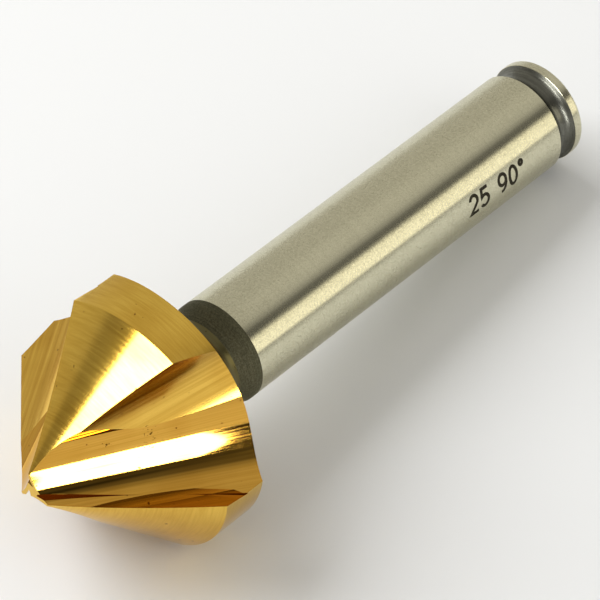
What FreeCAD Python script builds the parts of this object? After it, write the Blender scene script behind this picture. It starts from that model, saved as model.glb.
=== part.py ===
import FreeCAD, Part
import math
import os
from FreeCAD import Vector, Matrix, Rotation, Placement

# ---------------------------------------------------------------- dimensions (mm)
# Axial stations are measured from the small end of the head toward the shank end.
LENGTH = 67.0            # overall length
HEAD_DIA = 25.0          # largest cutting diameter
TIP_DIA = 3.72           # small end of the 90 degree head
CONE_HALF_ANGLE = 45.0   # half of the 90 degree point
MARGIN_LEN = 4.47        # cylindrical margin behind the cone
BACK_HALF_ANGLE = 60.0   # back of the head, measured from the axis
SHANK_DIA = 10.0
NECK_DIA = 8.8           # turned neck between head and shank
NECK_END = 22.5          # where the neck has opened out to the shank diameter
GROOVE_START = 63.85     # retaining groove near the shank end
GROOVE_LEN = 2.1
GROOVE_DEPTH = 0.75
END_CHAMFER = 0.3

FLUTES = 3               # evenly spaced
EDGE_ANGLE = -59.3       # angular position of the first cutting edge
RELIEF_OFFSET = 0.63     # eccentric offset of the relief ground on a land
RELIEF_LEAD = 20.0       # how far its direction runs ahead of the edge
RELIEF_SPAN = 68.0       # angular width the relief is ground over

# secondary clearance trough of each flute: a straight round trough
TROUGH_R = 10.0
TROUGH_TILT = 30.783     # to the axis
TROUGH_DIR = 15.565      # azimuth of the direction
TROUGH_AT = (18.188, 9.099, 15.15)
# the trough reaches only as far as this plane, inside the open space of the gullet
STOP_AT = (4.5, 2.9, 9.3)
STOP_ALONG = (0.165, 0.531, 0.831)
STOP_OUT = (0.864, 0.230, -0.446)

# main gullet of each flute: a scoop with a nearly flat flank and a tighter root
GULLET_TILT = 32.395
GULLET_DIR = 51.839
GULLET_AT = (11.058, 8.494, 15.15)
GULLET_GROWTH = 0.01274  # relative growth of the section per mm along its axis
# radius of the section against the angle round its axis, between two angles
GULLET_RADIUS = (5.08671, -1.20683, 3.13317, 1.99072, -6.43076, -2.72692)
GULLET_MID = -115.197    # degrees, where the series starts from
GULLET_UNIT = 91.673     # degrees that count as 1 in the series
GULLET_ROOT_END = -164.0
GULLET_FLANK_END = -76.0

# narrow ground rake facet along each cutting edge
RAKE_NORMAL = (-0.2, -0.98, 0.2)   # radial, tangential, axial at the edge
RAKE_DEPTH = 2.1

# lying at rest on the rims of two lands and the end of the shank
REST_AZIMUTH = 151.080   # direction that faces the floor
REST_TILT = 6.2590       # axis to the floor
# ---------------------------------------------------------------------------------

R = HEAD_DIA / 2.0
RT = TIP_DIA / 2.0
RS = SHANK_DIA / 2.0
RN = NECK_DIA / 2.0
s_corner = (R - RT) / math.tan(math.radians(CONE_HALF_ANGLE))
s_rim = s_corner + MARGIN_LEN
BACK_K = 1.0 / math.tan(math.radians(BACK_HALF_ANGLE))


def unit(tilt, azimuth):
    a, b = math.radians(tilt), math.radians(azimuth)
    return Vector(math.sin(a) * math.cos(b), math.sin(a) * math.sin(b), math.cos(a))


def blank():
    s_neck = s_rim + (R - RN - 0.6) * BACK_K
    r_neck_in = RN + 0.6
    g0, g1 = GROOVE_START, GROOVE_START + GROOVE_LEN
    V = lambda r, s: Vector(r, 0, s)
    e = [Part.makeLine(V(0, 0), V(RT, 0)),
         Part.makeLine(V(RT, 0), V(R, s_corner)),
         Part.makeLine(V(R, s_corner), V(R, s_rim)),
         Part.makeLine(V(R, s_rim), V(r_neck_in, s_neck)),
         Part.Arc(V(r_neck_in, s_neck), V(RN + 0.13, s_neck + 0.72), V(RN, s_neck + 1.5)).toShape(),
         Part.Arc(V(RN, s_neck + 1.5), V(RN + 0.34, NECK_END - 0.75), V(RS, NECK_END)).toShape(),
         Part.makeLine(V(RS, NECK_END), V(RS, g0)),
         Part.makeLine(V(RS, g0), V(RS - GROOVE_DEPTH * 0.45, g0 + 0.12)),
         Part.Arc(V(RS - GROOVE_DEPTH * 0.45, g0 + 0.12),
                  V(RS - GROOVE_DEPTH, 0.5 * (g0 + g1)),
                  V(RS - GROOVE_DEPTH * 0.45, g1 - 0.12)).toShape(),
         Part.makeLine(V(RS - GROOVE_DEPTH * 0.45, g1 - 0.12), V(RS, g1)),
         Part.makeLine(V(RS, g1), V(RS, LENGTH - END_CHAMFER)),
         Part.makeLine(V(RS, LENGTH - END_CHAMFER), V(RS - END_CHAMFER, LENGTH)),
         Part.makeLine(V(RS - END_CHAMFER, LENGTH), V(0, LENGTH)),
         Part.makeLine(V(0, LENGTH), V(0, 0))]
    face = Part.Face(Part.Wire(e))
    return face.revolve(Vector(0, 0, 0), Vector(0, 0, 1), 360)


def trough():
    u = unit(TROUGH_TILT, TROUGH_DIR)
    a = Vector(*TROUGH_AT)
    bar = Part.makeCylinder(TROUGH_R, 60, a - u * 32, u)
    ex = Vector(*STOP_ALONG)
    ex.normalize()
    ez = ex.cross(Vector(*STOP_OUT))
    ez.normalize()
    ey = ez.cross(ex)
    o = Vector(*STOP_AT)
    beyond = Part.makeBox(140, 140, 90, Vector(-70, -70, 0))
    beyond.Placement = Placement(Matrix(ex.x, ey.x, ez.x, o.x, ex.y, ey.y, ez.y, o.y,
                                        ex.z, ey.z, ez.z, o.z, 0, 0, 0, 1))
    return bar.cut(beyond)


def gullet_radius(deg):
    def series(x):
        q = (x - GULLET_MID) / GULLET_UNIT
        return sum(c * q ** i for i, c in enumerate(GULLET_RADIUS))
    if GULLET_ROOT_END <= deg <= GULLET_FLANK_END:
        return series(deg)
    r_root, r_flank = series(GULLET_ROOT_END), series(GULLET_FLANK_END)
    # the open side of the section, outside the metal
    t = (deg - GULLET_FLANK_END) % 360.0 / (360.0 - (GULLET_FLANK_END - GULLET_ROOT_END))
    t = min(max((t - 0.3) / 0.4, 0.0), 1.0)
    t = t * t * (3 - 2 * t)
    return r_flank + (r_root - r_flank) * t


def gullet():
    u = unit(GULLET_TILT, GULLET_DIR)
    a = u.cross(Vector(0, 0, 1))
    a.normalize()
    b = u.cross(a)
    wires = []
    for s in (-30.0, 22.0):
        k = 1.0 + GULLET_GROWTH * s
        pts = []
        for i in range(90):
            d = -178.0 + 4.0 * i
            r = k * gullet_radius(d if d <= 180.0 else d - 360.0)
            t = math.radians(d)
            pts.append(Vector(*GULLET_AT) + u * s + a * (r * math.cos(t)) + b * (r * math.sin(t)))
        c = Part.BSplineCurve()
        c.interpolate(pts, PeriodicFlag=True)
        wires.append(Part.Wire([c.toShape()]))
    return Part.makeLoft(wires, True, True)


def facet():
    # wedge in front of the next cutting edge, bounded by the rake plane
    ang = math.radians(EDGE_ANGLE + 120.0)
    er = Vector(math.cos(ang), math.sin(ang), 0)
    et = Vector(-math.sin(ang), math.cos(ang), 0)
    ez = Vector(0, 0, 1)
    n = er * RAKE_NORMAL[0] + et * RAKE_NORMAL[1] + ez * RAKE_NORMAL[2]
    n.normalize()
    along = (er + ez)
    along.normalize()
    w = along.cross(n)
    w.normalize()
    if w.dot(er) > 0:            # w points down into the tooth
        w = w * -1.0
    e_tip = er * (RT - 3.0) + ez * (-3.0)
    e_out = er * (R + 3.5) + ez * (s_corner + 3.5)
    top, h0, h1 = 3.0, 0.9, RAKE_DEPTH
    side = 1.7

    def quad(p, h, sd):
        return [p - w * top, p + w * h, p + w * (h * 0.45) + n * sd, p - w * top + n * sd]

    a, b = quad(e_tip, h0, 0.35), quad(e_out, h1, side)
    wa = Part.makePolygon(a + [a[0]])
    wb = Part.makePolygon(b + [b[0]])
    return Part.makeLoft([wa, wb], True, True)


def land_relief():
    # eccentric cone: a land falls away from its cutting edge toward its heel
    c = math.radians(EDGE_ANGLE - RELIEF_LEAD)
    shift = Vector(math.cos(c), math.sin(c), 0) * RELIEF_OFFSET
    less = RELIEF_OFFSET * math.cos(math.radians(RELIEF_LEAD))
    z0, z1 = -1.0, s_corner + 2.0
    cone = Part.makeCone(max(RT - less + z0, 0.01), RT - less + z1, z1 - z0,
                         Vector(0, 0, z0) + shift, Vector(0, 0, 1))
    lo, hi = -0.5, s_corner + 0.8
    sector = Part.makeCylinder(R + 3.0, hi - lo, Vector(0, 0, lo), Vector(0, 0, 1),
                               RELIEF_SPAN)
    sector.rotate(Vector(0, 0, 0), Vector(0, 0, 1), EDGE_ANGLE - 6.0)
    return sector.cut(cone)


body = blank()
cutters = []
for k in range(FLUTES):
    turn = Rotation(Vector(0, 0, 1), 120.0 * k)
    for c in (trough(), gullet(), facet(), land_relief()):
        c.Placement = Placement(Vector(0, 0, 0), turn).multiply(c.Placement)
        cutters.append(c)
for c in cutters:
    body = body.cut(c)

if body.ShapeType != "Solid":
    body = max(body.Solids, key=lambda s: s.Volume)

# lay it down: +Z up, the shank runs toward +X
a, tl = math.radians(REST_AZIMUTH), math.radians(REST_TILT)
zz = Vector(-math.cos(a) * math.cos(tl), -math.sin(a) * math.cos(tl), -math.sin(tl))
ax = Vector(0, 0, 1)
xx = ax - zz * ax.dot(zz)
xx.normalize()
yy = zz.cross(xx)
body.Placement = Placement(Matrix(xx.x, xx.y, xx.z, 0, yy.x, yy.y, yy.z, 0,
                                  zz.x, zz.y, zz.z, 0, 0, 0, 0, 1))
bb = body.optimalBoundingBox(True, False)
body.translate(Vector(-0.5 * (bb.XMin + bb.XMax), -0.5 * (bb.YMin + bb.YMax), -bb.ZMin))

os.makedirs("parts", exist_ok=True)
body.exportStep("parts/countersink_bit.step")
print("valid", body.isValid(), "volume", body.Volume, "faces", len(body.Faces))
bb = body.optimalBoundingBox(True, False)
print(bb.XMin, bb.XMax, bb.YMin, bb.YMax, bb.ZMin, bb.ZMax)
print("tip at", body.Placement.multVec(Vector(0, 0, 0)), "shank", body.Placement.multVec(Vector(0, 0, LENGTH)))
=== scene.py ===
import math

import bpy
import numpy as np
from mathutils import Matrix, Vector


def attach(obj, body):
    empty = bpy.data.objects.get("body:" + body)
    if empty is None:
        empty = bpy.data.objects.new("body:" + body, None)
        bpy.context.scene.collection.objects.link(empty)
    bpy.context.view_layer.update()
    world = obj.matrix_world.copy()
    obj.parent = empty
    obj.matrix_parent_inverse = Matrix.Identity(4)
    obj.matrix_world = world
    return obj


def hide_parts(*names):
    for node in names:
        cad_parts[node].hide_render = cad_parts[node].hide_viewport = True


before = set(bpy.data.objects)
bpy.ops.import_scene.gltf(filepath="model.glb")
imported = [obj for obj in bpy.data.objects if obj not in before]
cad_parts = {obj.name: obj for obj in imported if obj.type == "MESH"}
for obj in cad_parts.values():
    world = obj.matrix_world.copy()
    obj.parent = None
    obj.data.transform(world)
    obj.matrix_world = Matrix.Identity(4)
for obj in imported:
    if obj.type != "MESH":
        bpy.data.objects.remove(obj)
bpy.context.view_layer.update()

# ------------------------------------------------------------------ dimensions
# Millimetres in the tool's own frame: +Z from the small end to the shank end.
LENGTH = 67.0
R = 12.5                  # head radius
RT = 1.86                 # small end radius
MARGIN = 4.47
BACK = 1.0 / math.tan(math.radians(60.0))
RS = 5.0                  # shank radius
RN = 4.4                  # neck radius
NECK_END = 22.5           # neck opens out to the shank diameter here
OXIDE_END = 23.15         # the dark skin ends and the ground shank begins
G0, GW, GD = 63.85, 2.1, 0.75
CH = 0.3
S_CORNER = R - RT
S_RIM = S_CORNER + MARGIN
EDGE = math.radians(-59.3)
RELIEF_A, RELIEF_B = 0.213, 0.0183
TROUGH = (10.0, 30.783, 15.565, (18.188, 9.099, 15.15))
STOP_AT, STOP_ALONG, STOP_OUT = (4.5, 2.9, 9.3), (0.165, 0.531, 0.831), (0.864, 0.230, -0.446)
GULLET = (32.395, 51.839, (11.058, 8.494, 15.15), 0.01274)
GULLET_RADIUS = (5.08671, -1.20683, 3.13317, 1.99072, -6.43076, -2.72692)
GULLET_MID, GULLET_UNIT, GULLET_ROOT_END, GULLET_FLANK_END = -115.197, 91.673, -164.0, -76.0
RAKE_N = (-0.2, -0.98, 0.2)
RAKE_DEPTH = 2.1
REST_AZ, REST_TILT = math.radians(151.080), math.radians(6.2590)
TIP = (-33.48160, 0.00214, 12.24207)

# lying pose: rows are the row frame's axes in the tool's own frame
_zz = -np.array([math.cos(REST_AZ) * math.cos(REST_TILT),
                 math.sin(REST_AZ) * math.cos(REST_TILT), math.sin(REST_TILT)])
_xx = np.array([0, 0, 1.0]) - _zz * _zz[2]
_xx /= np.linalg.norm(_xx)
_yy = np.cross(_zz, _xx)
LAY = np.stack([_xx, _yy, _zz])


def to_row(p):
    """tool frame, mm, to row frame, m"""
    return (np.asarray(p) @ LAY.T + np.array(TIP)) / 1000.0


def to_row_dir(v):
    return np.asarray(v) @ LAY.T


def unit(tilt, az):
    a, b = math.radians(tilt), math.radians(az)
    return np.array([math.sin(a) * math.cos(b), math.sin(a) * math.sin(b), math.cos(a)])


def rotz(v, a):
    c, s = math.cos(a), math.sin(a)
    v = np.asarray(v)
    return np.stack([c * v[..., 0] - s * v[..., 1], s * v[..., 0] + c * v[..., 1], v[..., 2]], -1)


# ------------------------------------------------------------------ head mesh
# Face kinds: each surface of the head keeps its own number through the cuts, so
# its exact normals can be set afterwards.
LAND, MARG, BACKC, NECKARC, TIPF, CAP, TROU, GULL, FACE = range(9)


def mesh_from(name, verts, faces, kinds):
    me = bpy.data.meshes.new(name)
    me.from_pydata([tuple(map(float, v)) for v in verts], [], faces)
    n = max(kinds) + 1
    for i in range(9):
        me.materials.append(bpy.data.materials.get("kind%d" % i) or bpy.data.materials.new("kind%d" % i))
    me.polygons.foreach_set("material_index", kinds)
    me.update()
    ob = bpy.data.objects.new(name, me)
    bpy.context.scene.collection.objects.link(ob)
    return ob


def relief(phi, r):
    a = (phi - EDGE) % (2 * math.pi / 3)
    span = math.radians(62.0)
    a = np.where(a < span, a, span * (1 - (a - span) / (2 * math.pi / 3 - span)))
    return (RELIEF_A + RELIEF_B * r) * a, a


def head_blank(n=540):
    phi = EDGE + np.arange(n) * 2 * math.pi / n
    rows, kinds = [], []
    g0, a = relief(phi, RT)
    # on the cone r = s + RT - (A + B r) a
    r_tip = (RT - RELIEF_A * a) / (1 + RELIEF_B * a)
    s_cor = R - RT + (RELIEF_A + RELIEF_B * R) * a
    m = 10
    for i in range(m + 1):
        t = i / m
        rr = r_tip + (R - r_tip) * t
        ss = s_cor * t
        rows.append((rr, ss))
        kinds.append(LAND)
    kinds.pop()
    kinds.append(None)
    for i in range(1, 3):
        t = i / 2
        rows.append((np.full(n, R), s_cor + (S_RIM - s_cor) * t))
    seg = [LAND] * m + [MARG] * 2
    r_in = RN + 0.6
    s_neck = S_RIM + (R - r_in) * BACK
    for i in range(1, 9):
        t = i / 8
        rows.append((np.full(n, R + (r_in - R) * t), np.full(n, S_RIM + (s_neck - S_RIM) * t)))
        seg.append(BACKC)
    # concave arc into the neck, through the same three points as the solid
    p0, p1, p2 = (r_in, s_neck), (RN + 0.13, s_neck + 0.72), (RN, s_neck + 1.5)
    for q in arc3(p0, p1, p2, 10)[1:]:
        rows.append((np.full(n, q[0]), np.full(n, q[1])))
        seg.append(NECKARC)
    verts, faces, kk = [], [], []
    for rr, ss in rows:
        verts.extend(np.stack([rr * np.cos(phi), rr * np.sin(phi), ss], 1))
    for j in range(len(rows) - 1):
        for i in range(n):
            i2 = (i + 1) % n
            faces.append((j * n + i, j * n + i2, (j + 1) * n + i2, (j + 1) * n + i))
            kk.append(seg[j])
    c0 = len(verts)
    verts.append((0, 0, 0))
    verts.append((0, 0, rows[-1][1][0]))
    last = (len(rows) - 1) * n
    for i in range(n):
        i2 = (i + 1) % n
        faces.append((c0, i2, i))
        kk.append(TIPF)
        faces.append((c0 + 1, last + i, last + i2))
        kk.append(CAP)
    return mesh_from("head", verts, faces, kk), rows[-1][1][0]


def arc3(a, b, c, n):
    ax, ay, bx, by, cx, cy = *a, *b, *c
    d = 2 * (ax * (by - cy) + bx * (cy - ay) + cx * (ay - by))
    ux = ((ax * ax + ay * ay) * (by - cy) + (bx * bx + by * by) * (cy - ay) + (cx * cx + cy * cy) * (ay - by)) / d
    uy = ((ax * ax + ay * ay) * (cx - bx) + (bx * bx + by * by) * (ax - cx) + (cx * cx + cy * cy) * (bx - ax)) / d
    r = math.hypot(ax - ux, ay - uy)
    t0, t1, t2 = (math.atan2(p[1] - uy, p[0] - ux) for p in (a, b, c))

    def wrap(x):
        return (x + math.pi) % (2 * math.pi) - math.pi
    d1, d2 = wrap(t1 - t0), wrap(t2 - t0)
    if d1 * d2 < 0 or abs(d1) > abs(d2):
        d2 -= math.copysign(2 * math.pi, d2)
    return [(ux + r * math.cos(t0 + d2 * i / n), uy + r * math.sin(t0 + d2 * i / n)) for i in range(n + 1)]


def gullet_radius(deg):
    """radius of the gullet's section and its slope per radian"""
    def series(x):
        q = (x - GULLET_MID) / GULLET_UNIT
        return (sum(c * q ** i for i, c in enumerate(GULLET_RADIUS)),
                sum(i * c * q ** (i - 1) for i, c in enumerate(GULLET_RADIUS) if i) * math.degrees(1) / GULLET_UNIT)
    if GULLET_ROOT_END <= deg <= GULLET_FLANK_END:
        return series(deg)
    r_root, r_flank = series(GULLET_ROOT_END)[0], series(GULLET_FLANK_END)[0]
    t = (deg - GULLET_FLANK_END) % 360.0 / (360.0 - (GULLET_FLANK_END - GULLET_ROOT_END))
    t = min(max((t - 0.3) / 0.4, 0.0), 1.0)
    return r_flank + (r_root - r_flank) * t * t * (3 - 2 * t), 0.0


def tube_cutter(name, u, at, lo, hi, r_of, n, kind, turn):
    a = np.cross(u, [0, 0, 1.0])
    a /= np.linalg.norm(a)
    b = np.cross(u, a)
    verts, faces = [], []
    for s in (lo, hi):
        for i in range(n):
            t = 2 * math.pi * i / n
            verts.append(np.array(at) + u * s + r_of(s, t) * (math.cos(t) * a + math.sin(t) * b))
    for i in range(n):
        i2 = (i + 1) % n
        faces.append((i, i2, n + i2, n + i))
    faces.append(tuple(range(n))[::-1])
    faces.append(tuple(n + i for i in range(n)))
    ob = mesh_from(name, rotz(np.array(verts), turn), faces, [kind] * len(faces))
    fix_normals(ob)
    return ob


def beyond_stop(turn):
    """the block past the plane where a trough ends inside the open gullet"""
    ex = np.array(STOP_ALONG) / np.linalg.norm(STOP_ALONG)
    ez = np.cross(ex, STOP_OUT)
    ez /= np.linalg.norm(ez)
    ey = np.cross(ez, ex)
    v = [np.array(STOP_AT) + ex * x + ey * y + ez * z for z in (0, 90) for x, y in ((-70, -70), (70, -70), (70, 70), (-70, 70))]
    faces = [(0, 1, 2, 3), (4, 5, 6, 7), (0, 1, 5, 4), (1, 2, 6, 5), (2, 3, 7, 6), (3, 0, 4, 7)]
    ob = mesh_from("stop", rotz(np.array(v), turn), faces, [TROU] * 6)
    fix_normals(ob)
    return ob


def fix_normals(ob):
    import bmesh
    bm = bmesh.new()
    bm.from_mesh(ob.data)
    bmesh.ops.recalc_face_normals(bm, faces=bm.faces)
    bm.to_mesh(ob.data)
    bm.free()


def facet_frame():
    ang = EDGE + 2 * math.pi / 3
    er = np.array([math.cos(ang), math.sin(ang), 0])
    et = np.array([-math.sin(ang), math.cos(ang), 0])
    ez = np.array([0, 0, 1.0])
    n = er * RAKE_N[0] + et * RAKE_N[1] + ez * RAKE_N[2]
    n /= np.linalg.norm(n)
    al = (er + ez) / math.sqrt(2)
    w = np.cross(al, n)
    w /= np.linalg.norm(w)
    if w @ er > 0:
        w = -w
    return er, et, ez, n, w


def facet_cutter(turn):
    er, et, ez, n, w = facet_frame()
    e_tip = er * (RT - 3.0) + ez * (-3.0)
    e_out = er * (R + 3.5) + ez * (S_CORNER + 3.5)

    def quad(p, h, sd):
        return [p - w * 3.0, p + w * h, p + w * (h * 0.45) + n * sd, p - w * 3.0 + n * sd]
    v = quad(e_tip, 0.9, 0.35) + quad(e_out, RAKE_DEPTH, 1.7)
    faces = [(0, 1, 2, 3), (4, 5, 6, 7), (0, 1, 5, 4), (1, 2, 6, 5), (2, 3, 7, 6), (3, 0, 4, 7)]
    ob = mesh_from("facet", rotz(np.array(v), turn), faces, [FACE] * 6)
    fix_normals(ob)
    return ob


def cut(ob, cutters):
    for c in cutters:
        m = ob.modifiers.new("cut", "BOOLEAN")
        m.operation = "DIFFERENCE"
        m.solver = "MANIFOLD"
        m.object = c
        m.material_mode = "INDEX"
        dg = bpy.context.evaluated_depsgraph_get()
        dg.update()
        me = bpy.data.meshes.new_from_object(ob.evaluated_get(dg))
        ob.modifiers.clear()
        ob.data = me
    for c in cutters:
        bpy.data.objects.remove(c)


head, S_CUT = head_blank()
cutters = []
for k in range(3):
    turn = k * 2 * math.pi / 3
    rt, ti, az, at = TROUGH
    bar = tube_cutter("trough", unit(ti, az), at, -32, 28, lambda s, t: rt, 400, TROU, turn)
    cut(bar, [beyond_stop(turn)])
    cutters.append(bar)
    ti, az, at, tp = GULLET
    cutters.append(tube_cutter("gullet", unit(ti, az), at, -30, 22,
                               lambda s, t: (1 + tp * s) * gullet_radius((math.degrees(t) + 180.0) % 360.0 - 180.0)[0],
                               360, GULL, turn))
    cutters.append(facet_cutter(turn))
cut(head, cutters)


def exact_normals(ob):
    """normals of the true cones, cylinders and planes, at every face corner"""
    me = ob.data
    nl = len(me.loops)
    co = np.empty(len(me.vertices) * 3)
    me.vertices.foreach_get("co", co)
    co = co.reshape(-1, 3)
    lv = np.empty(nl, int)
    me.loops.foreach_get("vertex_index", lv)
    ls = np.empty(len(me.polygons), int)
    lt = np.empty(len(me.polygons), int)
    mi = np.empty(len(me.polygons), int)
    me.polygons.foreach_get("loop_start", ls)
    me.polygons.foreach_get("loop_total", lt)
    me.polygons.foreach_get("material_index", mi)
    fn = np.empty(len(me.polygons) * 3)
    me.polygons.foreach_get("normal", fn)
    fn = fn.reshape(-1, 3)
    fc = np.empty(len(me.polygons) * 3)
    me.polygons.foreach_get("center", fc)
    fc = fc.reshape(-1, 3)
    pl = np.repeat(np.arange(len(me.polygons)), lt)
    order = np.concatenate([np.arange(a, a + b) for a, b in zip(ls, lt)])
    kind = np.empty(nl, int)
    kind[order] = mi[pl]
    pol = np.empty(nl, int)
    pol[order] = pl
    P = co[lv]
    out = fn[pol].copy()
    r = np.hypot(P[:, 0], P[:, 1]) + 1e-9
    er = np.stack([P[:, 0] / r, P[:, 1] / r, 0 * r], 1)
    et = np.stack([-er[:, 1], er[:, 0], 0 * r], 1)
    ez = np.array([0, 0, 1.0])
    # use the face's own side for the relief angle
    cphi = np.arctan2(fc[pol][:, 1], fc[pol][:, 0])
    _, a = relief(cphi, R)
    sel = kind == LAND
    nn = er * (1 + RELIEF_B * a)[:, None] + et * ((RELIEF_A + RELIEF_B * r) / r)[:, None] - ez
    out[sel] = nn[sel]
    sel = kind == MARG
    out[sel] = er[sel]
    sel = kind == BACKC
    out[sel] = (er * BACK + ez)[sel]
    sel = kind == NECKARC
    s_in = S_RIM + (R - RN - 0.6) * BACK
    lines = np.zeros((nl, 3), np.float32)
    for kd, (nt, az, at, tp) in ((TROU, (TROUGH[1], TROUGH[2], TROUGH[3], 0.0)), (GULL, GULLET)):
        sel = np.where(kind == kd)[0]
        best = np.full(len(sel), 1e9)
        bn = np.zeros((len(sel), 3))
        C = fc[pol[sel]]

        def section(q, u, e0, e1):
            s = q @ u
            x, y = q @ e0, q @ e1
            t = np.arctan2(y, x)
            if kd == TROU:
                rr, dr = np.full(len(q), TROUGH[0]), np.zeros(len(q))
            else:
                rd = np.array([gullet_radius(v) for v in np.degrees(t)])
                rr, dr = rd[:, 0], rd[:, 1]
            return s, np.hypot(x, y), t, rr, dr
        for k in range(3):
            u0 = unit(nt, az)
            e0 = np.cross(u0, [0, 0, 1.0])
            e0 /= np.linalg.norm(e0)
            e1 = np.cross(u0, e0)
            u, e0, e1 = (rotz(v, k * 2 * math.pi / 3) for v in (u0, e0, e1))
            A = rotz(np.array(at, float), k * 2 * math.pi / 3)
            s, d, t, rr, dr = section(C - A, u, e0, e1)
            err = np.abs(d - rr * (1 + tp * s))
            s, d, t, rr, dr = section(P[sel] - A, u, e0, e1)
            er_ = np.cos(t)[:, None] * e0 + np.sin(t)[:, None] * e1
            et_ = -np.sin(t)[:, None] * e0 + np.cos(t)[:, None] * e1
            # gradient of d - rr(t) (1 + tp s)
            nrm = -(er_ - ((1 + tp * s) * dr / np.maximum(d, 1e-6))[:, None] * et_ - (rr * tp)[:, None] * u)
            take = err < best
            best[take] = err[take]
            bn[take] = nrm[take]
            mid = math.atan2(np.sin(t[take]).sum(), np.cos(t[take]).sum())
            tw = (t - mid + math.pi) % (2 * math.pi) - math.pi
            lines[sel[take]] = np.stack([tw * 7.0, np.full(len(t), 9.0 * k), s + 60.0 * k], 1)[take]
        out[sel] = bn
    out /= np.linalg.norm(out, axis=1)[:, None]
    # keep the flat normal where the exact one would face the wrong way
    bad = (out * fn[pol]).sum(1) < 0.5
    out[bad] = fn[pol][bad]
    me.shade_smooth()
    me.normals_split_custom_set([tuple(v) for v in out])
    la = me.attributes.new("flute", "FLOAT_VECTOR", "CORNER")
    la.data.foreach_set("vector", lines.ravel())
    return kind, bad


kind_of_loop, bad = exact_normals(head)
print("head", len(head.data.vertices), "verts", len(head.data.polygons), "faces; flat corners", int(bad.sum()), "of", len(bad))

# ------------------------------------------------------------------ shank mesh


def lathe(name, pts, kinds, n=320, names=()):
    """closed solid of revolution about the tool's axis; pts run (r, s) and start and end on the axis"""
    verts, faces, kk = [], [], []
    phi = np.arange(n) * 2 * math.pi / n
    rings = pts[1:-1]
    for r, s in rings:
        verts.extend(np.stack([r * np.cos(phi), r * np.sin(phi), np.full(n, s)], 1))
    for j in range(len(rings) - 1):
        for i in range(n):
            i2 = (i + 1) % n
            faces.append((j * n + i, j * n + i2, (j + 1) * n + i2, (j + 1) * n + i))
            kk.append(kinds[j + 1])
    c0 = len(verts)
    verts.append((0, 0, pts[0][1]))
    verts.append((0, 0, pts[-1][1]))
    last = (len(rings) - 1) * n
    for i in range(n):
        i2 = (i + 1) % n
        faces.append((c0, i2, i))
        kk.append(kinds[0])
        faces.append((c0 + 1, last + i, last + i2))
        kk.append(kinds[-1])
    me = bpy.data.meshes.new(name)
    me.from_pydata([tuple(map(float, v)) for v in verts], [], faces)
    me.polygons.foreach_set("material_index", kk)
    me.update()
    ob = bpy.data.objects.new(name, me)
    bpy.context.scene.collection.objects.link(ob)
    return ob


def shank():
    pts, kinds = [], []

    def go(p, kind):
        if pts:
            kinds.append(kind)
        pts.append(p)
    OX, ST, GR = 0, 1, 2
    s_neck = S_RIM + (R - RN - 0.6) * BACK
    go((0, s_neck + 1.5), OX)
    go((RN, s_neck + 1.5), OX)
    for p in arc3((RN, s_neck + 1.5), (RN + 0.34, NECK_END - 0.75), (RS, NECK_END), 14)[1:]:
        go(p, OX)
    go((RS, OXIDE_END), OX)
    for i in range(1, 41):
        go((RS, OXIDE_END + (G0 - 0.04 - OXIDE_END) * i / 40), ST)
    go((RS - 0.04, G0), ST)
    go((RS - GD * 0.45, G0 + 0.12), GR)
    for p in arc3((RS - GD * 0.45, G0 + 0.12), (RS - GD, G0 + GW / 2), (RS - GD * 0.45, G0 + GW - 0.12), 22)[1:]:
        go(p, GR)
    go((RS - 0.04, G0 + GW), GR)
    go((RS, G0 + GW + 0.04), ST)
    for i in range(1, 4):
        go((RS, G0 + GW + 0.04 + (LENGTH - CH - G0 - GW - 0.04) * i / 3), ST)
    for p in arc3((RS, LENGTH - CH), (RS - CH * 0.32, LENGTH - CH * 0.32), (RS - CH, LENGTH), 5)[1:]:
        go(p, ST)
    go((0, LENGTH), ST)
    return lathe("shank", pts, kinds)


shank_ob = shank()
me = shank_ob.data
me.shade_smooth()
me.set_sharp_from_angle(angle=math.radians(28))


# ------------------------------------------------------------------ size numerals
def arc_pts(cx, cy, rx, ry, a0, a1, n):
    return [(cx + rx * math.cos(math.radians(a0 + (a1 - a0) * i / n)),
             cy + ry * math.sin(math.radians(a0 + (a1 - a0) * i / n))) for i in range(n + 1)]


def resample(pts, step, closed):
    pts = [np.array(p, float) for p in pts]
    if closed:
        pts.append(pts[0])
    out = []
    for a, b in zip(pts[:-1], pts[1:]):
        m = max(1, math.ceil(np.linalg.norm(b - a) / step))
        out.extend(a + (b - a) * i / m for i in range(m))
    if not closed:
        out.append(pts[-1])
    return out


GLYPHS = {
    "2": [(arc_pts(0.30, 0.70, 0.26, 0.30, 165, -28, 18) + [(0.03, 0.0), (0.60, 0.0)], False)],
    "5": [([(0.56, 1.0), (0.12, 1.0), (0.07, 0.53)] + arc_pts(0.28, 0.32, 0.28, 0.32, 128, -148, 20), False)],
    "9": [(arc_pts(0.30, 0.69, 0.26, 0.31, 0, 345, 24), True),
          ([(0.56, 0.66), (0.55, 0.42), (0.48, 0.20), (0.36, 0.05), (0.20, 0.0)], False)],
    "0": [(arc_pts(0.30, 0.50, 0.26, 0.50, 0, 345, 30), True)],
    "o": [(arc_pts(0.14, 0.88, 0.11, 0.12, 0, 340, 16), True)],
}


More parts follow.
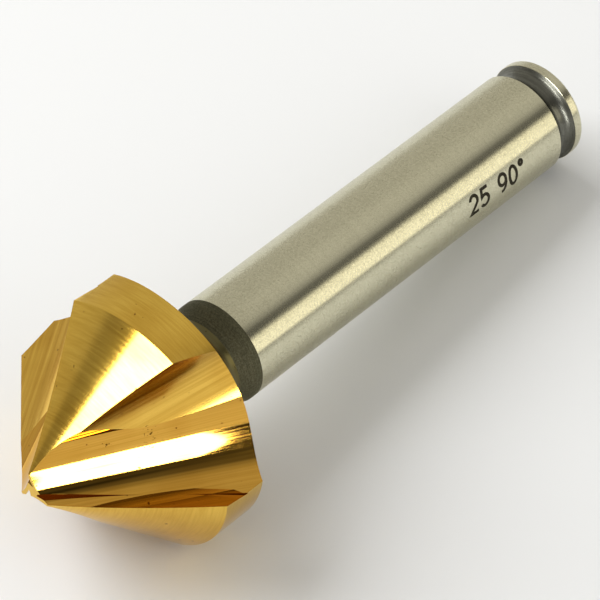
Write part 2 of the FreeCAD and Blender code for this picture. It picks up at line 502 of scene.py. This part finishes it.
def numerals(text, s0, az0, high, stroke):
    """shallow dark numerals laid round the shank; s0 and az0 are the foot of the first one"""
    verts, faces = [], []
    x = 0.0
    for ch in text:
        if ch == " ":
            x += 0.55 * high
            continue
        for pts, closed in GLYPHS[ch]:
            q = resample([(x + u * high, v * high) for u, v in pts], 0.16, closed)
            n = len(q)
            base = len(verts)
            for i in range(n):
                a = q[i - 1] if (closed or i > 0) else q[i]
                b = q[(i + 1) % n] if (closed or i < n - 1) else q[i]
                d1 = q[i] - a if np.linalg.norm(q[i] - a) > 1e-9 else b - q[i]
                d2 = b - q[i] if np.linalg.norm(b - q[i]) > 1e-9 else d1
                d1, d2 = d1 / np.linalg.norm(d1), d2 / np.linalg.norm(d2)
                nn = np.array([-(d1 + d2)[1], (d1 + d2)[0]])
                nn /= np.linalg.norm(nn)
                k = 0.5 * stroke / max(abs(nn @ np.array([-d1[1], d1[0]])), 0.6)
                for side, r in ((1, RS + 0.010), (-1, RS + 0.010), (-1, RS - 0.05), (1, RS - 0.05)):
                    w = q[i] + nn * k * side
                    az = math.radians(az0) - w[1] / RS
                    verts.append((r * math.cos(az), r * math.sin(az), s0 + w[0]))
            for i in range(n if closed else n - 1):
                j = (i + 1) % n
                for c in range(4):
                    c2 = (c + 1) % 4
                    faces.append((base + 4 * i + c, base + 4 * i + c2, base + 4 * j + c2, base + 4 * j + c))
            if not closed:
                faces.append(tuple(base + c for c in (3, 2, 1, 0)))
                faces.append(tuple(base + 4 * (n - 1) + c for c in range(4)))
        x += (0.42 if ch == "o" else 0.80) * high
    me = bpy.data.meshes.new("numerals")
    me.from_pydata([tuple(map(float, v)) for v in verts], [], faces)
    me.update()
    ob = bpy.data.objects.new("numerals", me)
    bpy.context.scene.collection.objects.link(ob)
    fix_normals(ob)
    return ob


marks = numerals("25 90o", 51.0, 53.5, 1.85, 0.33)


def place(ob):
    """tool frame in mm to the row frame in m; the tool's own coordinates stay as an attribute"""
    me = ob.data
    co = np.empty(len(me.vertices) * 3, np.float32)
    me.vertices.foreach_get("co", co)
    at = me.attributes.new("tool", "FLOAT_VECTOR", "POINT")
    at.data.foreach_set("vector", co)
    m = Matrix.Identity(4)
    for i in range(3):
        for j in range(3):
            m[i][j] = LAY[i, j] / 1000.0
        m[i][3] = TIP[i] / 1000.0
    me.transform(m)
    me.update()


for ob in (head, shank_ob, marks):
    place(ob)

# ------------------------------------------------------------------ materials


def new_mat(name):
    m = bpy.data.materials.new(name)
    m.use_nodes = True
    nt = m.node_tree
    nt.nodes.clear()
    out = nt.nodes.new("ShaderNodeOutputMaterial")
    b = nt.nodes.new("ShaderNodeBsdfPrincipled")
    nt.links.new(b.outputs[0], out.inputs[0])
    return m, nt, b


def node(nt, kind, **kw):
    n = nt.nodes.new(kind)
    for k, v in kw.items():
        if k.startswith("i_"):
            n.inputs[k[2:].replace("_", " ")].default_value = v
        else:
            setattr(n, k, v)
    return n


def ramp(nt, stops, interp="LINEAR"):
    n = nt.nodes.new("ShaderNodeValToRGB")
    n.color_ramp.interpolation = interp
    els = n.color_ramp.elements
    while len(els) > 1:
        els.remove(els[-1])
    els[0].position, els[0].color = stops[0][0], stops[0][1]
    for p, c in stops[1:]:
        e = els.new(p)
        e.color = c
    return n


def g(v, a=1.0):
    return (v, v, v, a)


def around(nt):
    """unit direction round the tool's axis, in the row frame"""
    geo = node(nt, "ShaderNodeNewGeometry")
    sub = node(nt, "ShaderNodeVectorMath", operation="SUBTRACT")
    sub.inputs[1].default_value = [v / 1000.0 for v in TIP]
    nt.links.new(geo.outputs["Position"], sub.inputs[0])
    crs = node(nt, "ShaderNodeVectorMath", operation="CROSS_PRODUCT")
    crs.inputs[0].default_value = [float(v) for v in to_row_dir(np.array([0, 0, 1.0]))]
    nt.links.new(sub.outputs[0], crs.inputs[1])
    nrm = node(nt, "ShaderNodeVectorMath", operation="NORMALIZE")
    nt.links.new(crs.outputs[0], nrm.inputs[0])
    return nrm.outputs[0]


def tint(nt, col, fac, shade):
    """col multiplied by shade where fac is 1"""
    mx = node(nt, "ShaderNodeMix", data_type="RGBA", blend_type="MULTIPLY")
    nt.links.new(fac, mx.inputs["Factor"])
    nt.links.new(col, mx.inputs["A"])
    mx.inputs["B"].default_value = shade
    return mx.outputs["Result"]


def gold(name, rough, streak_scale, bump, c0, c1, nicks=False, fade=False, attr="tool"):
    m, nt, b = new_mat(name)
    b.inputs["Metallic"].default_value = 1.0
    tc = node(nt, "ShaderNodeAttribute", attribute_name="tool")
    mp = node(nt, "ShaderNodeMapping")
    mp.inputs["Scale"].default_value = streak_scale
    lines = node(nt, "ShaderNodeAttribute", attribute_name=attr)
    nt.links.new(lines.outputs["Vector"], mp.inputs["Vector"])
    ns = node(nt, "ShaderNodeTexNoise", i_Scale=1.0, i_Detail=4.0, i_Roughness=0.6)
    nt.links.new(mp.outputs[0], ns.inputs["Vector"])
    cr = ramp(nt, [(0.35, c0), (0.65, c1)])
    nt.links.new(ns.outputs["Fac"], cr.inputs[0])
    col = cr.outputs[0]
    # a few dark specks
    sp = node(nt, "ShaderNodeTexNoise", i_Scale=1.7, i_Detail=1.0, i_Roughness=0.4)
    nt.links.new(tc.outputs["Vector"], sp.inputs["Vector"])
    spr = ramp(nt, [(0.765, g(0.0)), (0.80, g(1.0))])
    nt.links.new(sp.outputs["Fac"], spr.inputs[0])
    col = tint(nt, col, spr.outputs[0], (0.35, 0.25, 0.2, 1))
    # broad, faint change of the coating's tone
    bt = node(nt, "ShaderNodeTexNoise", i_Scale=0.16, i_Detail=2.0, i_Roughness=0.5)
    nt.links.new(tc.outputs["Vector"], bt.inputs["Vector"])
    btr = ramp(nt, [(0.45, g(0.0)), (0.62, g(1.0))])
    nt.links.new(bt.outputs["Fac"], btr.inputs[0])
    col = tint(nt, col, btr.outputs[0], (0.92, 0.88, 0.8, 1))
    if nicks:
        # small nicks where chips have run over the ridge between trough and gullet
        for at, size in (((4.64, 2.58, 9.38), 2.2), ((5.5, 1.77, 9.59), 1.6), ((3.9, 0.5, 6.2), 1.1)):
            ds = node(nt, "ShaderNodeVectorMath", operation="DISTANCE")
            ds.inputs[1].default_value = at
            nt.links.new(tc.outputs["Vector"], ds.inputs[0])
            near = node(nt, "ShaderNodeMapRange", i_From_Min=size * 0.3, i_From_Max=size, i_To_Min=0.62, i_To_Max=0.95)
            nt.links.new(ds.outputs["Value"], near.inputs["Value"])
            nn = node(nt, "ShaderNodeTexNoise", i_Scale=3.6, i_Detail=2.0, i_Roughness=0.7)
            nt.links.new(tc.outputs["Vector"], nn.inputs["Vector"])
            gt = node(nt, "ShaderNodeMath", operation="GREATER_THAN")
            nt.links.new(nn.outputs["Fac"], gt.inputs[0])
            nt.links.new(near.outputs[0], gt.inputs[1])
            col = tint(nt, col, gt.outputs[0], (0.22, 0.17, 0.12, 1))
    if fade:
        # the coating thins out on the back of the head and gives way to the dark skin of the neck
        sx = node(nt, "ShaderNodeSeparateXYZ")
        nt.links.new(tc.outputs["Vector"], sx.inputs[0])
        wob = node(nt, "ShaderNodeMath", operation="MULTIPLY_ADD")
        nt.links.new(bt.outputs["Fac"], wob.inputs[0])
        wob.inputs[1].default_value = 1.6
        nt.links.new(sx.outputs["Z"], wob.inputs[2])
        fr = node(nt, "ShaderNodeMapRange", i_From_Min=18.2, i_From_Max=21.5)
        nt.links.new(wob.outputs[0], fr.inputs["Value"])
        fd = ramp(nt, [(0.0, g(1.0)), (0.3, (0.8, 0.68, 0.6, 1)), (0.6, (0.38, 0.36, 0.5, 1)), (0.85, (0.17, 0.23, 0.6, 1))])
        nt.links.new(fr.outputs[0], fd.inputs[0])
        mx = node(nt, "ShaderNodeMix", data_type="RGBA", blend_type="MULTIPLY")
        mx.inputs["Factor"].default_value = 1.0
        nt.links.new(col, mx.inputs["A"])
        nt.links.new(fd.outputs[0], mx.inputs["B"])
        col = mx.outputs["Result"]
    nt.links.new(col, b.inputs["Base Color"])
    mr = node(nt, "ShaderNodeMapRange", i_From_Min=0.3, i_From_Max=0.7, i_To_Min=rough - 0.03, i_To_Max=rough + 0.04)
    nt.links.new(ns.outputs["Fac"], mr.inputs["Value"])
    nt.links.new(mr.outputs[0], b.inputs["Roughness"])
    bp = node(nt, "ShaderNodeBump", i_Strength=bump, i_Distance=0.00002)
    nt.links.new(ns.outputs["Fac"], bp.inputs["Height"])
    nt.links.new(bp.outputs[0], b.inputs["Normal"])
    return m


GOLD_LAND = gold("tin_land", 0.12, (0.35, 0.35, 7.0), 0.3, (0.73, 0.455, 0.072, 1), (0.83, 0.54, 0.098, 1))
# painted shade: the gullet and rake facet carry the same coating as the lands, but with its base colour set darker so
# that the flute reflects less light; the streaks and nicks on it are real wear
GOLD_FLUTE_SHADED = gold("tin_flute_shaded", 0.03, (4.0, 1.0, 0.05), 0.006, (0.60, 0.32, 0.045, 1), (0.72, 0.40, 0.07, 1), nicks=True, attr="flute")
GOLD_TROUGH = gold("tin_trough", 0.16, (3.5, 1.0, 0.05), 0.12, (0.64, 0.37, 0.055, 1), (0.84, 0.53, 0.10, 1), nicks=True, attr="flute")
GOLD_BACK = gold("tin_back", 0.3, (0.3, 0.3, 2.5), 0.3, (0.70, 0.44, 0.07, 1), (0.80, 0.52, 0.09, 1), fade=True)


def steel(name, c0, c1, rough, aniso, bump, grain=0.88):
    m, nt, b = new_mat(name)
    b.inputs["Metallic"].default_value = 1.0
    b.inputs["Anisotropic"].default_value = aniso
    tc = node(nt, "ShaderNodeAttribute", attribute_name="tool")
    mp = node(nt, "ShaderNodeMapping")
    mp.inputs["Scale"].default_value = (0.25, 0.25, 9.0)
    nt.links.new(tc.outputs["Vector"], mp.inputs["Vector"])
    ns = node(nt, "ShaderNodeTexNoise", i_Scale=1.0, i_Detail=5.0, i_Roughness=0.65)
    nt.links.new(mp.outputs[0], ns.inputs["Vector"])
    cr = ramp(nt, [(0.3, c0), (0.7, c1)])
    nt.links.new(ns.outputs["Fac"], cr.inputs[0])
    gr = node(nt, "ShaderNodeTexNoise", i_Scale=6.0, i_Detail=3.0, i_Roughness=0.8)
    nt.links.new(tc.outputs["Vector"], gr.inputs["Vector"])
    grr = ramp(nt, [(0.42, g(0.0)), (0.60, g(1.0))])
    nt.links.new(gr.outputs["Fac"], grr.inputs[0])
    col = tint(nt, cr.outputs[0], grr.outputs[0], (grain, grain, grain * 0.97, 1))
    nt.links.new(col, b.inputs["Base Color"])
    mr = node(nt, "ShaderNodeMapRange", i_From_Min=0.35, i_From_Max=0.65, i_To_Min=rough - 0.04, i_To_Max=rough + 0.05)
    nt.links.new(gr.outputs["Fac"], mr.inputs["Value"])
    nt.links.new(mr.outputs[0], b.inputs["Roughness"])
    bp = node(nt, "ShaderNodeBump", i_Strength=bump, i_Distance=0.00001)
    nt.links.new(ns.outputs["Fac"], bp.inputs["Height"])
    nt.links.new(bp.outputs[0], b.inputs["Normal"])
    b.inputs["Anisotropic Rotation"].default_value = 0.25
    nt.links.new(around(nt), b.inputs["Tangent"])
    return m


STEEL = steel("ground_steel", (0.62, 0.59, 0.43, 1), (0.70, 0.67, 0.49, 1), 0.25, 0.95, 0.10, 0.80)
OXIDE = steel("dark_skin", (0.115, 0.112, 0.068, 1), (0.19, 0.18, 0.115, 1), 0.78, 0.1, 0.5, 0.7)
GROOVE = steel("groove_skin", (0.10, 0.10, 0.085, 1), (0.2, 0.2, 0.17, 1), 0.3, 0.3, 0.2)

kind_mats = [GOLD_LAND, GOLD_LAND, GOLD_BACK, GOLD_BACK, GOLD_LAND, GOLD_BACK, GOLD_TROUGH, GOLD_FLUTE_SHADED, GOLD_FLUTE_SHADED]
head_kinds = np.empty(len(head.data.polygons), int)
head.data.polygons.foreach_get("material_index", head_kinds)
for i, m in enumerate(kind_mats):
    head.data.materials[i] = m
for m in (OXIDE, STEEL, GROOVE):
    shank_ob.data.materials.append(m)

ETCH, nt, b = new_mat("etched")
b.inputs["Metallic"].default_value = 0.0
b.inputs["Roughness"].default_value = 0.8
b.inputs["Specular IOR Level"].default_value = 0.2
tc = node(nt, "ShaderNodeAttribute", attribute_name="tool")
ns = node(nt, "ShaderNodeTexNoise", i_Scale=7.0, i_Detail=3.0, i_Roughness=0.7)
nt.links.new(tc.outputs["Vector"], ns.inputs["Vector"])
cr = ramp(nt, [(0.35, (0.012, 0.009, 0.003, 1)), (0.68, (0.05, 0.042, 0.022, 1))])
nt.links.new(ns.outputs["Fac"], cr.inputs[0])
nt.links.new(cr.outputs[0], b.inputs["Base Color"])
marks.data.materials.append(ETCH)

for ob, slot in ((head, "coating"), (shank_ob, "steel"), (marks, "oxide")):
    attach(ob, "root")
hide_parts("countersink_bit")
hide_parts("countersink_bit")
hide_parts("countersink_bit")

# ------------------------------------------------------------------ camera
CAM_POS = (292.4256888, 0.0, -154.0701117)
CAM_RIGHT = (0.4308303468, 0.6025372690, 0.6718140009)
CAM_DOWN = (-0.3229581346, 0.7980877516, -0.5086786649)
CAM_FWD = (-0.8426643790, 0.0021864091, 0.5384347352)
cam_data = bpy.data.cameras.new("camera")
cam = bpy.data.objects.new("camera", cam_data)
bpy.context.scene.collection.objects.link(cam)
cam_data.sensor_width = 36.0
cam_data.lens = 3914.485 * 36.0 / 600.0
cam_data.clip_start = 0.01
cam_data.clip_end = 10.0
rr, dd, ff = (to_row_dir(np.array(v)) for v in (CAM_RIGHT, CAM_DOWN, CAM_FWD))
mw = Matrix.Identity(4)
for i in range(3):
    mw[i][0], mw[i][1], mw[i][2] = rr[i], -dd[i], -ff[i]
    mw[i][3] = to_row(np.array(CAM_POS))[i]
cam.matrix_world = mw
bpy.context.scene.camera = cam

# ------------------------------------------------------------------ floor and light
floor_me = bpy.data.meshes.new("floor")
S = 3.0
floor_me.from_pydata([(-S, -S, 0), (S, -S, 0), (S, S, 0), (-S, S, 0)], [], [(0, 1, 2, 3)])
floor = bpy.data.objects.new("floor", floor_me)
bpy.context.scene.collection.objects.link(floor)
fm, nt, b = new_mat("floor")
b.inputs["Base Color"].default_value = (0.78, 0.79, 0.80, 1)
b.inputs["Roughness"].default_value = 0.85
b.inputs["Specular IOR Level"].default_value = 0.15
floor_me.materials.append(fm)

scene = bpy.context.scene
scene.view_settings.view_transform = "Standard"
scene.view_settings.look = "None"


def tool_dir(theta, ax):
    """row-frame direction at an angle round the tool's axis and a cosine along it"""
    t = math.radians(theta)
    c = math.sqrt(1 - ax * ax)
    return Vector(tuple(to_row_dir(np.array([c * math.cos(t), c * math.sin(t), ax]))))


# the studio: a soft grey room, a little darker beside each of the two bright boxes
world = bpy.data.worlds.new("world")
scene.world = world
world.use_nodes = True
wt = world.node_tree
bg = wt.nodes["Background"]
wtc = node(wt, "ShaderNodeTexCoord")


def wdot(v):
    n = node(wt, "ShaderNodeVectorMath", operation="DOT_PRODUCT")
    n.inputs[1].default_value = [float(x) for x in v]
    wt.links.new(wtc.outputs["Generated"], n.inputs[0])
    return n.outputs["Value"]


def wramp(value, lo, hi, stops):
    m = node(wt, "ShaderNodeMapRange", i_From_Min=lo, i_From_Max=hi)
    wt.links.new(value, m.inputs["Value"])
    r = ramp(wt, [((p - lo) / (hi - lo), g(v)) for p, v in stops], "EASE")
    wt.links.new(m.outputs[0], r.inputs[0])
    return r.outputs[0]


w_r0, w_t0, w_d = (to_row_dir(np.array(v)) for v in ((1.0, 0, 0), (0, 1.0, 0), (0, 0, 1.0)))
w_th = node(wt, "ShaderNodeMath", operation="ARCTAN2")
wt.links.new(wdot(w_t0), w_th.inputs[0])
wt.links.new(wdot(w_r0), w_th.inputs[1])
DEG = math.radians(1.0)
round_axis = wramp(w_th.outputs[0], -180 * DEG, 180 * DEG,
                   [(p * DEG, v) for p, v in ((-175, 0.55), (-114, 0.60), (-60, 0.60), (-40, 0.62), (-26, 0.60), (-12, 0.54),
                                              (-2, 0.36), (6, 0.15), (15, 0.13), (21, 0.28), (48, 0.34), (58, 0.22), (70, 0.26),
                                              (110, 0.5), (175, 0.55))])
w_az = node(wt, "ShaderNodeMath", operation="ARCTAN2")
wt.links.new(wdot((0, 1, 0)), w_az.inputs[0])
wt.links.new(wdot((1, 0, 0)), w_az.inputs[1])
by_az = wramp(w_az.outputs[0], -180 * DEG, 180 * DEG,
              [(p * DEG, v) for p, v in ((-179, 1.0), (-113, 1.0), (-107, 0.3), (-100, 0.3), (-96, 1.0), (115, 1.0), (130, 0.85), (137, 0.5), (148, 0.5), (158, 0.9), (179, 1.0))])
w_mul = node(wt, "ShaderNodeMix", data_type="RGBA", blend_type="MULTIPLY")
w_mul.inputs["Factor"].default_value = 1.0
wt.links.new(round_axis, w_mul.inputs["A"])
wt.links.new(by_az, w_mul.inputs["B"])
w_tint = node(wt, "ShaderNodeMix", data_type="RGBA", blend_type="MULTIPLY")
w_tint.inputs["Factor"].default_value = 1.0
w_tint.inputs["B"].default_value = (1.0, 0.965, 0.88, 1)
wt.links.new(w_mul.outputs["Result"], w_tint.inputs["A"])
wt.links.new(w_tint.outputs["Result"], bg.inputs["Color"])
bg.inputs["Strength"].default_value = 1.0


def area(name, pos, target, sx, sy, power, color=(1, 1, 1), up=(0, 0, 1)):
    d = bpy.data.lights.new(name, "AREA")
    d.shape = "RECTANGLE"
    d.size, d.size_y = sx, sy
    d.energy = power
    d.color = color
    o = bpy.data.objects.new(name, d)
    scene.collection.objects.link(o)
    z = (Vector(pos) - Vector(target)).normalized()
    x = Vector(up).cross(z).normalized()
    y = z.cross(x)
    m = Matrix.Identity(4)
    for i in range(3):
        m[i][0], m[i][1], m[i][2], m[i][3] = x[i], y[i], z[i], pos[i]
    o.matrix_world = m
    return o


def softbox(name, direction, dist, wide, high, glow, color=(1, 1, 1), up=(0, 0, 1), target=(-0.02, 0.0, 0.014)):
    """a rectangular box that spans wide x high degrees as seen from the target"""
    t = Vector(target)
    sx, sy = 2 * dist * math.tan(math.radians(wide / 2)), 2 * dist * math.tan(math.radians(high / 2))
    return area(name, t + dist * direction.normalized(), t, sx, sy, glow * math.pi * sx * sy, color, up)


def azel(az, el):
    a, e = math.radians(az), math.radians(el)
    return Vector((math.cos(e) * math.cos(a), math.cos(e) * math.sin(a), math.sin(e)))


box_a = softbox("box_left", tool_dir(-24.3, -0.836), 0.40, 38, 22, 11.0)
# a tall narrow box beside the head
b_n = tool_dir(38.5, -0.3275)
b_u = Vector(tuple(to_row_dir(np.array([0, 0, 1.0]))))
b_u = (b_u - b_n * b_u.dot(b_n)).normalized()
b_v = b_n.cross(b_u)
b_pos = Vector((-0.02, 0.0, 0.014)) + 0.4 * b_n + 0.0024 * b_u - 0.0625 * b_v
box_b = area("box_side", b_pos, b_pos - b_n, 0.036, 0.255, 20.0 * math.pi * 0.036 * 0.255, up=b_v + 0.121 * b_u)
b_low = Vector((-0.02, 0.0, 0.014)) + 0.4 * b_n - 0.001 * b_u - 0.262 * b_v
box_b2 = area("box_side_low", b_low, b_low - b_n, 0.013, 0.146, 20.0 * math.pi * 0.013 * 0.146, up=b_v + 0.04 * b_u)
box_d = softbox("panel", tool_dir(37, 0.54), 0.60, 44, 26, 1.3, color=(1.0, 0.94, 0.76), up=tuple(tool_dir(-53, 0.0)), target=(0.01, 0.0, 0.008))
# the two boxes are for gloss alone, and this one lights the floor from behind
for o in (box_a, box_b, box_b2, box_d):
    o.visible_diffuse = False
box_c = softbox("box_back", azel(104, 42), 0.60, 46, 40, 5.5)
box_c.visible_glossy = False
box_e = softbox("fill", azel(-78, 38), 0.60, 50, 40, 1.2)
box_e.visible_glossy = False
